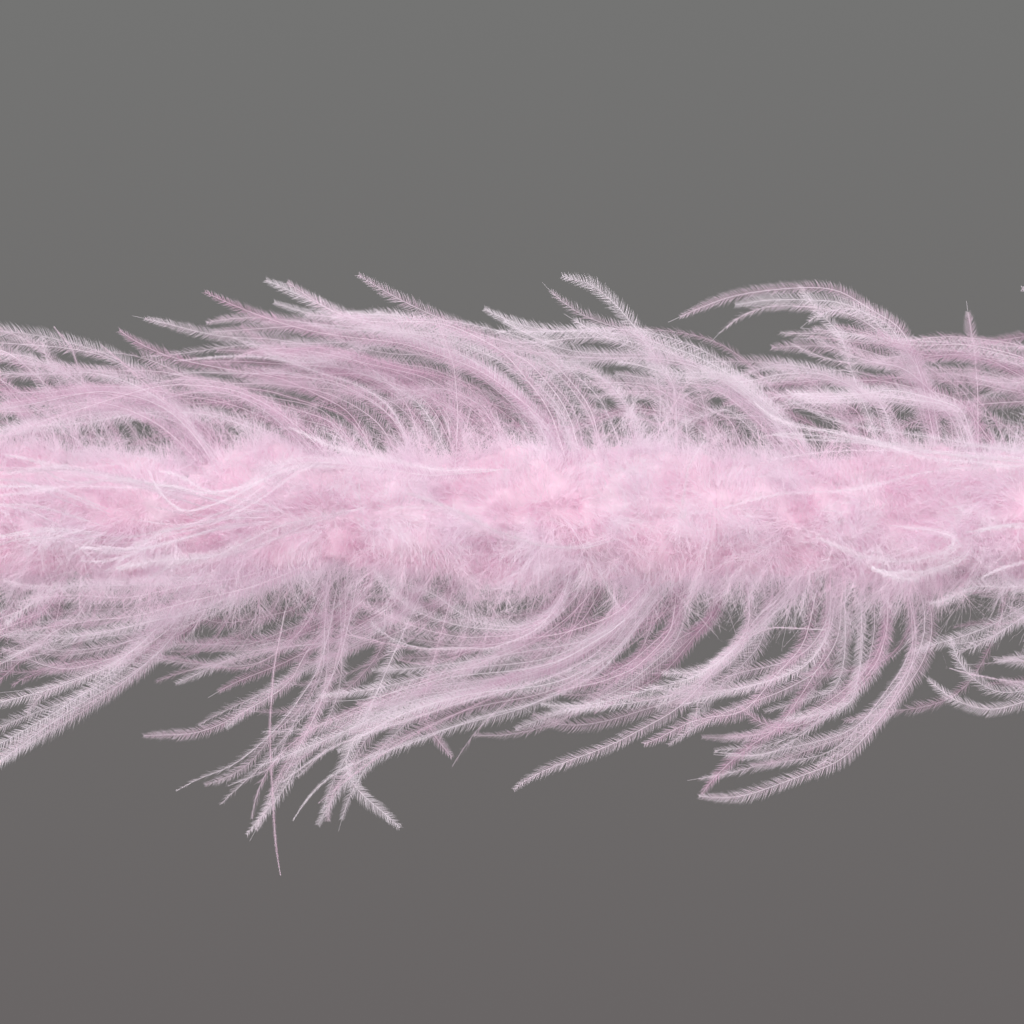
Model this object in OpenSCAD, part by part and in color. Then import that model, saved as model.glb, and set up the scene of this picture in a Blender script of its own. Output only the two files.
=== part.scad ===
// Feather boa: a twisted two-ply core that carries soft down sections and
// tufts of long ostrich flues, with a knot and a hanging loop at each end.
// Millimetres. The core lies along X, +Z is up, and the origin is on the
// core's axis at mid-length, where the boa rests on the wearer's neck.

/* [Core] */
// Length of the core between the centres of its two end knots
core_len = 600; // [540:10:660]
// Diameter of each of the two plies
ply_d = 1.8; // [1.4:0.1:2.2]
// Turns that each ply makes about the other over the whole length
ply_turns = 10; // [6:1:12]
// Diameter of the thread that is wound over the plies
thread_d = 0.5; // [0.4:0.1:0.7]

/* [Down] */
// Number of down sections along the core
section_count = 10; // [8:1:12]
// Radius of the dense part of the down
down_r = 31; // [26:1:36]
// Gap between two sections, where a tuft of flues comes out
section_gap = 5; // [4:0.5:8]

/* [Flues] */
// Flues in each tuft
flues_per_tuft = 10; // [6:1:12]
// Distance that the upper flues stand out from the axis
reach_up = 112; // [80:2:120]
// Distance that the lower flues hang out from the axis
reach_down = 142; // [100:2:150]
// Distance that an average flue sweeps back along the core
sweep = 92; // [50:2:110]
// Width of a flue over its barbules
flue_w = 6.5; // [4:0.5:8]
// Thickness of a flue
flue_t = 1.8; // [1:0.2:3]

/* [Ends] */
// Diameter of an end knot
knot_d = 10; // [8:0.5:13]
// Length of the thread whipping beside a knot
whip_len = 9; // [6:0.5:12]
// Diameter of the hanging loop's cord
loop_d = 2.4; // [1.8:0.2:3]
// Inner radius of the hanging loop's round end
loop_r = 8; // [6:0.5:11]

/* [Hidden] */
clear = 0.2;                            // air between two pieces
half = core_len / 2;
ply_r = ply_d / 2 + 0.05;               // a ply's centre line from the axis
plies_r = ply_r + ply_d / 2;            // outside of the twisted pair
thread_r = plies_r + thread_d / 2 + 0.05;
wound_r = thread_r + thread_d / 2;      // outside of the wound core
bore_r = wound_r + clear;               // hole through a down section
tie_r = bore_r + 1;                     // outside of a tuft's tie
tie_len = section_gap - 2 * 1;
knot_r = knot_d / 2;
whip_r = tie_r + 0.4;
whip_x = half - knot_r - whip_len - clear;
down_half = whip_x - clear - section_gap / 2;
pitch = 2 * down_half / section_count;  // from one tuft to the next
section_len = pitch - section_gap;
tuft_count = section_count + 1;
loop_mid_r = loop_r + loop_d / 2;
loop_reach = 2.4 * loop_mid_r;          // knot centre to the eye's centre
loop_tilt = asin(loop_mid_r / loop_reach);
loop_leg = sqrt(pow(loop_reach, 2) - pow(loop_mid_r, 2));

pink = [0.95, 0.72, 0.82];
pale_pink = [0.96, 0.84, 0.9];
cord_pink = [0.88, 0.6, 0.72];
thread_pink = [0.9, 0.66, 0.76];

function two_digits(n) = str(n < 10 ? "0" : "", n);

// ---- sweeping an outline along a route -------------------------------

function unit(v) = v / norm(v);
function heading(p, i) = unit(p[min(i + 1, len(p) - 1)] - p[max(i - 1, 0)]);

// A closed tube through the points p. Ring i is an ellipse of sides corners,
// half sizes w[i] and t[i], with w[i] square to both the route and side.
module swept(p, w, t, side, sides) {
    n = len(p);
    rings = [for (i = [0:n - 1])
        let (h = heading(p, i), across = unit(cross(h, side)), up = cross(across, h))
        for (k = [0:sides - 1])
            let (a = 360 * k / sides)
            p[i] + w[i] * cos(a) * across + t[i] * sin(a) * up];
    walls = [for (i = [0:n - 2]) for (k = [0:sides - 1])
        let (a = i * sides + k, b = i * sides + (k + 1) % sides)
        each [[a, b, a + sides], [b, b + sides, a + sides]]];
    near = [for (k = [1:sides - 2]) [0, k + 1, k]];
    last = (n - 1) * sides;
    far = [for (k = [1:sides - 2]) [last, last + k, last + k + 1]];
    polyhedron(points = rings, faces = concat(walls, near, far), convexity = 8);
}

function helix(radius, turns, from, to, start, count) = [for (i = [0:count - 1])
    let (s = i / (count - 1), a = start + 360 * turns * s)
    [from + (to - from) * s, radius * cos(a), radius * sin(a)]];

function same(value, count) = [for (i = [1:count]) value];

// ---- core -------------------------------------------------------------

ply_rings = 80;
ply_end = half - knot_r - clear;        // the plies stop at the knots' faces

module ply(start) {
    color(cord_pink)
        swept(helix(ply_r, ply_turns, -ply_end, ply_end, start, ply_rings),
              same(ply_d / 2, ply_rings), same(ply_d / 2, ply_rings), [1, 0, 0], 8);
}

thread_rings = 150;
thread_turns = 17;

module winding_thread() {
    reach = whip_x - clear;
    color(thread_pink)
        swept(helix(thread_r, -thread_turns, -reach, reach, 40, thread_rings),
              same(thread_d / 2, thread_rings), same(thread_d / 2, thread_rings),
              [1, 0, 0], 6);
}

// A ring round the core between x and x + length, from the bore out to r
module sleeve(x, length, r, bore) {
    soft = min(0.5, length / 4);        // its edges are rounded off by this much
    translate([x, 0, 0]) rotate([0, 90, 0]) rotate_extrude($fn = 48)
        polygon([[bore, 0], [r - soft, 0], [r, soft], [r, length - soft],
                 [r - soft, length], [bore, length]]);
}

module whipping(side) {
    color(thread_pink) mirror([side < 0 ? 1 : 0, 0, 0])
        sleeve(whip_x, whip_len, whip_r, plies_r + clear / 2);
}

module end_knot(side) {
    ring_r = knot_r * 0.32;
    color(cord_pink) translate([side * half, 0, 0]) {
        sphere(r = knot_r * 0.86, $fn = 40);
        for (tilt = [35, -35])
            rotate([0, 90 + tilt, 0]) rotate_extrude($fn = 40)
                translate([knot_r - ring_r, 0]) circle(r = ring_r, $fn = 24);
    }
}

// A teardrop of cord: two straight legs from the knot to an eye of over half a turn
eye_steps = 16;
leg_steps = 4;

function loop_route() = let (
        from = knot_r + clear,
        leg = [for (i = [0:leg_steps - 1]) let (d = from + (loop_leg - from) * i / leg_steps)
            [d * cos(loop_tilt), 0, d * sin(loop_tilt)]],
        turn = 180 + 2 * loop_tilt,
        eye = [for (i = [0:eye_steps]) let (a = 90 - loop_tilt + turn * i / eye_steps)
            [loop_reach - loop_mid_r * cos(a), 0, loop_mid_r * sin(a)]])
    concat(leg, eye, [for (i = [leg_steps - 1:-1:0]) [leg[i][0], 0, -leg[i][2]]]);

module hang_loop(side) {
    route = loop_route();
    color(cord_pink) mirror([side < 0 ? 1 : 0, 0, 0]) translate([half, 0, 0])
        swept(route, same(loop_d / 2, len(route)), same(loop_d / 2, len(route)), [0, 1, 0], 10);
}

// ---- down ---------------------------------------------------------------

// One section of down: a soft barrel with rounded shoulders and a bore
module marabou_section(i) {
    x = -down_half + (i - 1) * pitch + section_gap / 2;
    swell = 1 + 0.05 * sin(i * 137);    // no two sections are quite the same
    r = down_r * swell;
    shoulder = 9;
    arc = [for (a = [90:-15:0]) [r - shoulder + shoulder * sin(a), shoulder * (1 - cos(a))]];
    color(pink) translate([x, 0, 0]) rotate([0, 90, 0]) rotate_extrude($fn = 64)
        polygon(concat([[bore_r, 0]], [for (k = [len(arc) - 1:-1:0]) arc[k]],
                       [for (q = arc) [q[0], section_len - q[1]]], [[bore_r, section_len]]));
}

module tuft_tie(i) {
    x = -down_half + (i - 1) * pitch;
    color(thread_pink) sleeve(x - tie_len / 2, tie_len, tie_r, bore_r);
}

// ---- flues --------------------------------------------------------------

flue_rings = 11;

// How wide a flue is at s, from a bare root through full barbules to a fine tip
function fullness(s) = s < 0.3 ? 0.16 + 2.8 * s : max(0.06, 1 - pow((s - 0.3) / 0.72, 4));

// A flue leaves the core square to it, along lean, and bends back along X
function flue_route(x, lean, reach, back, droop) = [for (i = [0:flue_rings - 1])
    let (s = i / (flue_rings - 1), r = tie_r + clear + (reach - tie_r) * sin(90 * s))
    [x - back * pow(s, 1.9), r * sin(lean), r * cos(lean) - droop * s * s]];

module flue(x, lean, reach, back, droop) {
    route = flue_route(x, lean, reach, back, droop);
    swept(route,
          [for (i = [0:flue_rings - 1]) flue_w / 2 * fullness(i / (flue_rings - 1))],
          [for (i = [0:flue_rings - 1]) flue_t / 2 * fullness(i / (flue_rings - 1))],
          [0, sin(lean), cos(lean)] + [0.3, 0, 0], 4);
}

module ostrich_tuft(i) {
    x = -down_half + (i - 1) * pitch;
    vary = rands(-1, 1, 4 * flues_per_tuft, 11 * i);
    color(pale_pink) for (k = [0:flues_per_tuft - 1]) {
        lean = 360 * (k + 0.5) / flues_per_tuft + 17 * i + 8 * vary[4 * k];
        down = 0.5 - 0.5 * cos(lean);   // 0 straight up, 1 straight down
        reach = (reach_up + (reach_down - reach_up) * down) * (0.87 + 0.11 * vary[4 * k + 1]);
        back = sweep * (1 + 0.45 * vary[4 * k + 2]);
        forward = k == flues_per_tuft - 1 && i > tuft_count / 2;
        flue(x + 0.8 * vary[4 * k + 3], lean, reach, forward ? -0.35 * back : back, 14 * down);
    }
}

ply(0);  // core_ply_a
ply(180);  // core_ply_b
winding_thread();
whipping(-1);  // whipping_left
whipping(1);  // whipping_right
end_knot(-1);  // end_knot_left
end_knot(1);  // end_knot_right
hang_loop(-1);  // hang_loop_left
hang_loop(1);  // hang_loop_right
for (i = [1:section_count])
    marabou_section(i);
for (i = [1:tuft_count])
    tuft_tie(i);
for (i = [1:tuft_count])
    ostrich_tuft(i);
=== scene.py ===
"""A pink feather boa: marabou down and ostrich flues on a twisted core with knots and loops.

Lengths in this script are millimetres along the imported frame's own axes, and
Bundle.build() turns them into Blender's metres. X runs along the core, +Z is up and -Y is the front.
"""

import math

import bpy
import numpy as np
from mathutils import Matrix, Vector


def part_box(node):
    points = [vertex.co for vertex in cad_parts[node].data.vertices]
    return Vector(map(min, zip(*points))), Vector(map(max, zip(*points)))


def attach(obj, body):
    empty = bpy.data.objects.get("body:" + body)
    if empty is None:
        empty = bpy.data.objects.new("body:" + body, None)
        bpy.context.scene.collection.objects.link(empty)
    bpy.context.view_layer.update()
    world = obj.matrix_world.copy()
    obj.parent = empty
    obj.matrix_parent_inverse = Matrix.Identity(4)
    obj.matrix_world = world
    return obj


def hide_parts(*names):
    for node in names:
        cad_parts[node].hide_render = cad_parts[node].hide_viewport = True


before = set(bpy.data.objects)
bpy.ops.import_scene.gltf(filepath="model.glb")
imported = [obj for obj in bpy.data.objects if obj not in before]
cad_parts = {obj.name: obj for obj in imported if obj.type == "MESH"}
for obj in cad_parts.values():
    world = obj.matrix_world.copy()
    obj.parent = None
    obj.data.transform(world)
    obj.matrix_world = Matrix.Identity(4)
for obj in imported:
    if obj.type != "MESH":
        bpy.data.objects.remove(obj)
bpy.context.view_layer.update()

MM = 0.001
FRONT = np.array([0.0, -1.0, 0.0])
UP = np.array([0.0, 0.0, 1.0])
ALONG = np.array([1.0, 0.0, 0.0])
UV_NAME = "OFBake"


# ---- the frame's own places ----

def box_mm(node):
    """A node's low and high corners, in millimetres."""
    low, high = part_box(node)
    return np.array(low) / MM, np.array(high) / MM


def middle(node):
    low, high = box_mm(node)
    return (low + high) / 2


SECTIONS = sorted(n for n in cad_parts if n.startswith("marabou_section"))
TUFTS = sorted(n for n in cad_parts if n.startswith("ostrich_tuft"))
TIES = sorted(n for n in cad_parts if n.startswith("tuft_tie"))


# ---- mesh building ----

class Bundle:
    """Points and faces gathered from many strands, then made into one mesh."""

    def __init__(self):
        self.points, self.uvs, self.tris, self.quads, self.count = [], [], [], [], 0

    def add(self, points, uvs, tris=None, quads=None):
        if tris is not None:
            self.tris.append(tris.reshape(-1, 3) + self.count)
        if quads is not None:
            self.quads.append(quads.reshape(-1, 4) + self.count)
        self.points.append(points.reshape(-1, 3))
        self.uvs.append(uvs.reshape(-1, 2))
        self.count += len(self.points[-1])

    def build(self, name, material, body="root"):
        points = np.concatenate(self.points) * MM
        uvs = np.concatenate(self.uvs)
        tris = np.concatenate(self.tris) if self.tris else np.zeros((0, 3), int)
        quads = np.concatenate(self.quads) if self.quads else np.zeros((0, 4), int)
        corners = np.concatenate([tris.ravel(), quads.ravel()])
        starts = np.concatenate(
            [np.arange(len(tris)) * 3, len(tris) * 3 + np.arange(len(quads)) * 4]
        )
        mesh = bpy.data.meshes.new(name)
        mesh.vertices.add(len(points))
        mesh.vertices.foreach_set("co", points.astype(np.float32).ravel())
        mesh.loops.add(len(corners))
        mesh.loops.foreach_set("vertex_index", corners.astype(np.int32))
        mesh.polygons.add(len(starts))
        mesh.polygons.foreach_set("loop_start", starts.astype(np.int32))
        mesh.polygons.foreach_set("use_smooth", np.ones(len(starts), bool))
        layer = mesh.uv_layers.new(name=UV_NAME)
        layer.data.foreach_set("uv", uvs[corners].astype(np.float32).ravel())
        mesh.update(calc_edges=True)
        mesh.materials.append(material)
        piece = bpy.data.objects.new(name, mesh)
        bpy.context.scene.collection.objects.link(piece)
        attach(piece, body)
        return piece


def unit(v):
    return v / np.maximum(np.linalg.norm(v, axis=-1, keepdims=True), 1e-9)


def headings(paths):
    """Unit tangents of (..., K, 3) paths."""
    return unit(np.gradient(paths, axis=-2))


def square_to(directions, tangents):
    """The part of directions that is square to the tangents, as unit vectors."""
    along = (directions * tangents).sum(-1, keepdims=True)
    return unit(directions - along * tangents)


def ribbons(bundle, paths, sides, widths, u, v, band=0.012):
    """Flat ribbons along (N, K, 3) paths, widths (N, K) across the unit vectors sides."""
    n, k = paths.shape[:2]
    half = sides * widths[..., None] / 2
    points = np.stack([paths + half, paths - half], axis=2)
    uv = np.empty((n, k, 2, 2))
    uv[..., 0] = np.broadcast_to(u, (n, k))[..., None]
    uv[..., 1] = np.broadcast_to(v, (n, k))[..., None] + np.array([band, -band])
    row = (np.arange(n)[:, None] * k + np.arange(k - 1)) * 2
    quads = np.stack([row, row + 1, row + 3, row + 2], axis=-1)
    bundle.add(points, np.clip(uv, 0.002, 0.998), quads=quads)


def spikes(bundle, roots, mids, tips, sides, widths, u, v, band=0.012):
    """Short tapered strands: a quad from root to mid and a triangle to the tip."""
    n = len(roots)
    half = sides * widths[:, None] / 2
    points = np.stack(
        [roots + half, roots - half, mids + 0.75 * half, mids - 0.75 * half, tips], axis=1
    )
    uv = np.empty((n, 5, 2))
    uv[..., 0] = np.asarray(u)[[0, 0, 1, 1, 2]]
    uv[..., 1] = np.asarray(v)[:, None] + np.array([band, -band, band, -band, 0])
    first = np.arange(n) * 5
    bundle.add(
        points,
        np.clip(uv, 0.002, 0.998),
        tris=np.stack([first + 2, first + 3, first + 4], axis=-1),
        quads=np.stack([first, first + 1, first + 3, first + 2], axis=-1),
    )


def slivers(bundle, roots, tips, sides, widths, u, v, band=0.012):
    """The finest fuzz: one triangle each."""
    n = len(roots)
    half = sides * widths[:, None] / 2
    uv = np.empty((n, 3, 2))
    uv[..., 0] = u[:, None] + np.array([0, 0, 0.15])
    uv[..., 1] = v[:, None] + np.array([band, -band, 0])
    first = np.arange(n) * 3
    bundle.add(
        np.stack([roots + half, roots - half, tips], axis=1),
        np.clip(uv, 0.002, 0.998),
        tris=np.stack([first, first + 1, first + 2], axis=-1),
    )


def tube(bundle, path, radii, corners, closed=False, lobes=0, lay=0.0, lobe_depth=0.0):
    """A tube along one (K, 3) path, with twisted lobes like a laid yarn where lobes is set."""
    tangents = headings(path)
    if closed:
        tangents = unit(np.roll(path, -1, 0) - np.roll(path, 1, 0))
    side = square_to(FRONT + 0.31 * UP, tangents[0])      # no path here starts along this
    sides = [side]
    for t in tangents[1:]:
        side = square_to(side, t)
        sides.append(side)
    sides = np.array(sides)
    others = np.cross(tangents, sides)
    step = np.linalg.norm(np.diff(path, axis=0), axis=1)
    run = np.concatenate([[0], np.cumsum(step)])
    angle = 2 * np.pi * np.arange(corners) / corners
    twist = 2 * np.pi * run[:, None] / lay if lay else 0 * run[:, None]
    groove = 1 - np.abs(np.cos(lobes * (angle - twist) / 2))
    radius = radii[:, None] * (1 - lobe_depth * groove)
    c, w = np.cos(angle)[None, :, None], np.sin(angle)[None, :, None]
    ring = c * sides[:, None] + w * others[:, None]
    points = path[:, None] + radius[..., None] * ring
    k = len(path)
    uv = np.empty((k, corners, 2))
    uv[..., 0] = 0.02 + 0.96 * np.abs((run / max(run[-1], 1e-6) * 8) % 2 - 1)[:, None]
    uv[..., 1] = 0.02 + 0.96 * np.abs(2 * np.arange(corners) / corners - 1)
    a = np.arange(k if closed else k - 1)[:, None] * corners
    b = np.roll(np.arange(k), -1)[: len(a), None] * corners
    c = np.arange(corners)[None]
    d = (c + 1) % corners
    quads = np.stack([a + c, a + d, b + d, b + c], axis=-1)
    caps = None
    if not closed:
        fan = np.arange(1, corners - 1)
        near = np.stack([0 * fan, fan + 1, fan], axis=-1)
        far = np.stack([0 * fan, fan, fan + 1], axis=-1) + (k - 1) * corners
        caps = np.concatenate([near, far])
    bundle.add(points, uv, tris=caps, quads=quads)


# ---- materials ----

def srgb(red, green, blue):
    """A colour given as it looks on screen, as linear values."""
    values = np.array([red, green, blue]) / 255
    curved = ((values + 0.055) / 1.055) ** 2.4
    return tuple(np.where(values < 0.04045, values / 12.92, curved)) + (1,)


def new_material(name):
    material = bpy.data.materials.new(name)
    material.use_nodes = True
    nodes = material.node_tree.nodes
    nodes.clear()
    return material, nodes, material.node_tree.links


def add_node(nodes, kind, values=()):
    """A shader node, with those of its sockets set to those values."""
    node = nodes.new("ShaderNode" + kind)
    for socket, value in dict(values).items():
        node.inputs[socket].default_value = value
    return node


def noise_along(nodes, links, uv, stretch, scale, detail):
    """Streaks of noise that run along a strand, from its stretched UV map."""
    mapping = add_node(nodes, "Mapping", {"Scale": stretch})
    links.new(uv.outputs["UV"], mapping.inputs["Vector"])
    noise = add_node(nodes, "TexNoise", {"Scale": scale, "Detail": detail})
    links.new(mapping.outputs["Vector"], noise.inputs["Vector"])
    return noise


def to_surface(nodes, links, shader):
    out = nodes.new("ShaderNodeOutputMaterial")
    links.new(shader.outputs[0], out.inputs["Surface"])


def strand_material(name, root, body, tip, pale, roughness, sheen, through):
    """Dyed feather: root to tip colours along each strand, paler the higher its V, with
    fine streaks, and part of the light coming through. For the flues the ramp and the V also carry painted
    highlight and painted shade."""
    material, nodes, links = new_material(name)
    uv = add_node(nodes, "UVMap")
    uv.uv_map = UV_NAME
    split = add_node(nodes, "SeparateXYZ")
    links.new(uv.outputs["UV"], split.inputs[0])
    ramp = add_node(nodes, "ValToRGB")
    ramp.color_ramp.elements[0].color = root
    ramp.color_ramp.elements[1].color = tip
    ramp.color_ramp.elements.new(0.35).color = body
    links.new(split.outputs["X"], ramp.inputs["Fac"])
    streaks = noise_along(nodes, links, uv, (3, 46, 1), 2.5, 3)
    amount = add_node(nodes, "Math", {1: 0.30})
    amount.operation = "MULTIPLY_ADD"
    links.new(streaks.outputs["Fac"], amount.inputs[0])
    links.new(split.outputs["Y"], amount.inputs[2])
    fade = add_node(nodes, "MapRange", {"From Min": 0.15, "From Max": 1.2, "To Max": 0.9})
    links.new(amount.outputs[0], fade.inputs["Value"])
    mix = add_node(nodes, "Mix")
    mix.data_type = "RGBA"
    mix.inputs["B"].default_value = pale
    links.new(fade.outputs["Result"], mix.inputs["Factor"])
    links.new(ramp.outputs["Color"], mix.inputs["A"])
    shader = add_node(nodes, "BsdfPrincipled", {
        "Roughness": roughness, "Specular IOR Level": 0.3,
        "Sheen Weight": sheen, "Sheen Roughness": 0.45,
    })
    links.new(mix.outputs["Result"], shader.inputs["Base Color"])
    glow = add_node(nodes, "BsdfTranslucent")
    links.new(mix.outputs["Result"], glow.inputs["Color"])
    both = add_node(nodes, "MixShader", {"Fac": through})
    links.new(shader.outputs[0], both.inputs[1])
    links.new(glow.outputs[0], both.inputs[2])
    to_surface(nodes, links, both)
    return material


def yarn_material(name, dark, light, scale, bump):
    """Spun yarn: fine fibre streaks in colour and bump along the strand."""
    material, nodes, links = new_material(name)
    uv = add_node(nodes, "UVMap")
    uv.uv_map = UV_NAME
    fibre = noise_along(nodes, links, uv, scale, 6, 4)
    ramp = add_node(nodes, "ValToRGB")
    ramp.color_ramp.elements[0].position = 0.3
    ramp.color_ramp.elements[0].color = dark
    ramp.color_ramp.elements[1].position = 0.7
    ramp.color_ramp.elements[1].color = light
    links.new(fibre.outputs["Fac"], ramp.inputs["Fac"])
    relief = add_node(nodes, "Bump", {"Strength": bump, "Distance": 0.0002})
    links.new(fibre.outputs["Fac"], relief.inputs["Height"])
    shader = add_node(nodes, "BsdfPrincipled", {
        "Roughness": 0.82, "Specular IOR Level": 0.3, "Sheen Weight": 0.3,
    })
    links.new(ramp.outputs["Color"], shader.inputs["Base Color"])
    links.new(relief.outputs["Normal"], shader.inputs["Normal"])
    to_surface(nodes, links, shader)
    return material


DOWN = strand_material(
    "marabou_down",
    root=srgb(254, 218, 235), body=srgb(252, 238, 247), tip=srgb(247, 229, 241),
    pale=srgb(249, 243, 249), roughness=0.8, sheen=0.35, through=0.5,
)
# For the flues the ramp holds painted light: the near-white root colour, where the shafts sit at U 0.02, is
# a painted highlight, and the dark mauve body colour at the barbules' roots is painted shade in the gaps
# along the shaft.
FLUE = strand_material(
    "ostrich_flue",
    root=srgb(254, 246, 250), body=srgb(200, 154, 182), tip=srgb(229, 211, 224),
    pale=srgb(244, 238, 244), roughness=0.6, sheen=0.15, through=0.4,
)
YARN = yarn_material(
    "core_yarn", srgb(226, 160, 190), srgb(246, 202, 222), scale=(30, 2, 1), bump=0.5
)
THREAD = yarn_material(
    "winding_thread", srgb(230, 172, 198), srgb(248, 212, 228), scale=(60, 3, 1), bump=0.3
)


# ---- core, thread, ties, whippings, knots and loops ----

PLY_D = 1.8                  # the same as in the CAD source
PLY_TURNS = 10
PLY_AXIS_R = PLY_D / 2 + 0.05
THREAD_D = 0.5
THREAD_TURNS = -17
THREAD_AXIS_R = PLY_AXIS_R + PLY_D / 2 + THREAD_D / 2 + 0.05
WHIPPING_THREAD_D = 0.56
KNOT_CORD_D = 2.5
CORD_LAY = 5.2               # how far along the cord its strands turn once


def helix(radius, turns, start, end, angle, count):
    """A helix about the core's axis, whose angle at the start is in degrees."""
    s = np.linspace(0, 1, count)
    a = math.radians(angle) + 2 * np.pi * turns * s
    return np.stack([start + (end - start) * s, radius * np.cos(a), radius * np.sin(a)], axis=-1)


def wound(bundle, start, end, radius, thread_d, angle):
    """One close layer of thread turns round the core from start to end."""
    turns = (end - start) / thread_d
    path = helix(radius, turns, start + thread_d / 2, end - thread_d / 2, angle, int(14 * turns))
    tube(bundle, path, np.full(len(path), thread_d / 2), 6)


def make_plies():
    """The two twisted plies of the core, each with its middle line."""
    for name, angle in (("core_ply_a", 0), ("core_ply_b", 180)):
        low, high = box_mm(name)
        path = helix(PLY_AXIS_R, PLY_TURNS, low[0], high[0], angle, 900)
        bundle = Bundle()
        tube(bundle, path, np.full(len(path), PLY_D / 2), 12, lobes=3, lay=9, lobe_depth=0.16)
        piece = bundle.build(name.replace("core_", "twisted_"), YARN)
        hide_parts(name)
        yield piece, path


def make_thread():
    """The long open winding that locks the feathers in the core."""
    low, high = box_mm("winding_thread")
    path = helix(THREAD_AXIS_R, THREAD_TURNS, low[0], high[0], 40, 700)
    bundle = Bundle()
    tube(bundle, path, np.full(len(path), THREAD_D / 2), 6)
    piece = bundle.build("wound_thread", THREAD)
    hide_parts("winding_thread")


def make_tie(node):
    """Two close layers of thread over the root of a tuft."""
    low, high = box_mm(node)
    bundle = Bundle()
    outer = high[2]
    wound(bundle, low[0], high[0], outer - THREAD_D / 2, THREAD_D, 0)
    wound(bundle, low[0] + 0.2, high[0] - 0.2, outer - 0.65, THREAD_D, 90)
    piece = bundle.build(node.replace("tuft_tie", "tie"), THREAD)
    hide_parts(node)


def make_whipping(side):
    node = f"whipping_{side}"
    low, high = box_mm(node)
    outer = high[2]
    bundle = Bundle()
    for depth, inset in ((0.3, 0.2), (0.85, 0.0), (1.4, 0.0)):      # outermost layer first
        radius = outer - depth
        wound(bundle, low[0] + inset, high[0] - inset, radius, WHIPPING_THREAD_D, 60 * depth)
    piece = bundle.build(f"thread_whipping_{side}", THREAD)
    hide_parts(node)


def make_knot(side):
    """An overhand knot pulled tight: a trefoil of cord that fills the CAD knot."""
    node = f"end_knot_{side}"
    centre = middle(node)
    t = np.linspace(0, 2 * np.pi, 160, endpoint=False)
    wide = 2.15 + 1.15 * np.cos(3 * t)
    path = np.stack([1.2075 * np.sin(3 * t), wide * np.cos(2 * t), wide * np.sin(2 * t)], axis=-1)
    bundle = Bundle()
    tube(bundle, path + centre, np.full(len(t), KNOT_CORD_D / 2), 18, closed=True,
         lobes=2, lay=CORD_LAY, lobe_depth=0.22)
    piece = bundle.build(f"overhand_knot_{side}", YARN)
    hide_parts(node)
    return piece


def make_loop(side):
    """A teardrop of laid cord, from the knot round the eye and back."""
    node = f"hang_loop_{side}"
    low, high = box_mm(node)
    sign = 1 if side == "right" else -1
    knot = middle(f"end_knot_{side}")
    far = high[0] if side == "right" else low[0]
    thick = high[1] - low[1]
    eye_r = (high[2] - low[2] - thick) / 2
    reach = abs(far - knot[0]) - thick / 2 - eye_r
    tilt = math.asin(eye_r / reach)
    leg = math.sqrt(reach**2 - eye_r**2)
    d = np.linspace(2.5, leg, 24, endpoint=False)
    up_leg = np.stack([d * math.cos(tilt), 0 * d, d * math.sin(tilt)], axis=-1)
    a = np.linspace(np.pi / 2 - tilt, 3 * np.pi / 2 + tilt, 72)
    eye = np.stack([reach - eye_r * np.cos(a), 0 * a, eye_r * np.sin(a)], axis=-1)
    path = np.concatenate([up_leg, eye, up_leg[::-1] * [1, 1, -1]])
    path = path * [sign, 1, 1] + [knot[0], 0, 0]
    bundle = Bundle()
    tube(bundle, path, np.full(len(path), thick / 2), 18, lobes=2, lay=CORD_LAY, lobe_depth=0.25)
    piece = bundle.build(f"cord_loop_{side}", YARN)
    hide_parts(node)


# ---- marabou down ----

PLUMES_PER_SECTION = 130
PLUME_POINTS = 8
PLUME_ROOT_R = 17
LONG_PLUMES = 0.14           # the share of plumes that are longer
LONGER = 1.55
BARBS_PER_PLUME = 32
BARB_POINTS = 6
FUZZ_PER_BARB = 10
FELT_PER_SECTION = 15000
STANDING = 0.55              # the share of felted strands that stand up
WISPS_PER_SECTION = 240
WISP_POINTS = 9
FUZZ_PER_WISP = 26
HEART_SHARE = 0.76           # the dense heart's radius, as a share of the section's
OVERLAP = 2.5                # how far a section's strands start past each of its ends
END_ROUNDING = 12            # the boa's two ends round over along this length


def around(angle):
    """Unit vectors square to the core; at angle 0 they point up, and at pi / 2 to the back."""
    return np.stack([np.zeros_like(angle), np.sin(angle), np.cos(angle)], axis=-1)


def soft_noise(points, seed, size):
    """Smooth values from 0 to 1 over space, from a few sine waves of about that size."""
    rng = np.random.default_rng(seed)
    total = np.zeros(points.shape[:-1])
    for _ in range(6):
        wave = unit(rng.normal(size=3)) * 2 * np.pi / (size * rng.uniform(0.7, 1.5))
        total += np.sin(points @ wave + rng.uniform(0, 2 * np.pi))
    return np.clip(0.5 + total / 5, 0, 1)


def swirl(points, out):
    """The way the down is combed at each point: smooth turns, square to the core's radius."""
    along = soft_noise(points, 11, 34)[..., None] - 0.56
    across = soft_noise(points, 12, 30)[..., None] - 0.5
    return 2.6 * along * ALONG + 2.6 * across * np.cross(ALONG, out)


def paleness_at(points):
    """How pale the down is: soft patches, some deeper pink."""
    return np.clip(0.2 + 0.9 * soft_noise(points, 9, 30), 0, 1)


def bulk_at(points):
    """How far the down stands out at each place, so that its edge isn't straight."""
    return 0.84 + 0.34 * soft_noise(points, 21, 48)


def rounding_at(x, ends):
    """How the down rounds over at the boa's two ends: its width there, and its lean along X."""
    from_end = np.minimum(x - ends[0], ends[1] - x)
    width = np.clip(from_end / END_ROUNDING, 0.03, 1) ** 0.5
    return width, np.sqrt(1 - width**2) * np.sign(x - (ends[0] + ends[1]) / 2)


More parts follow.
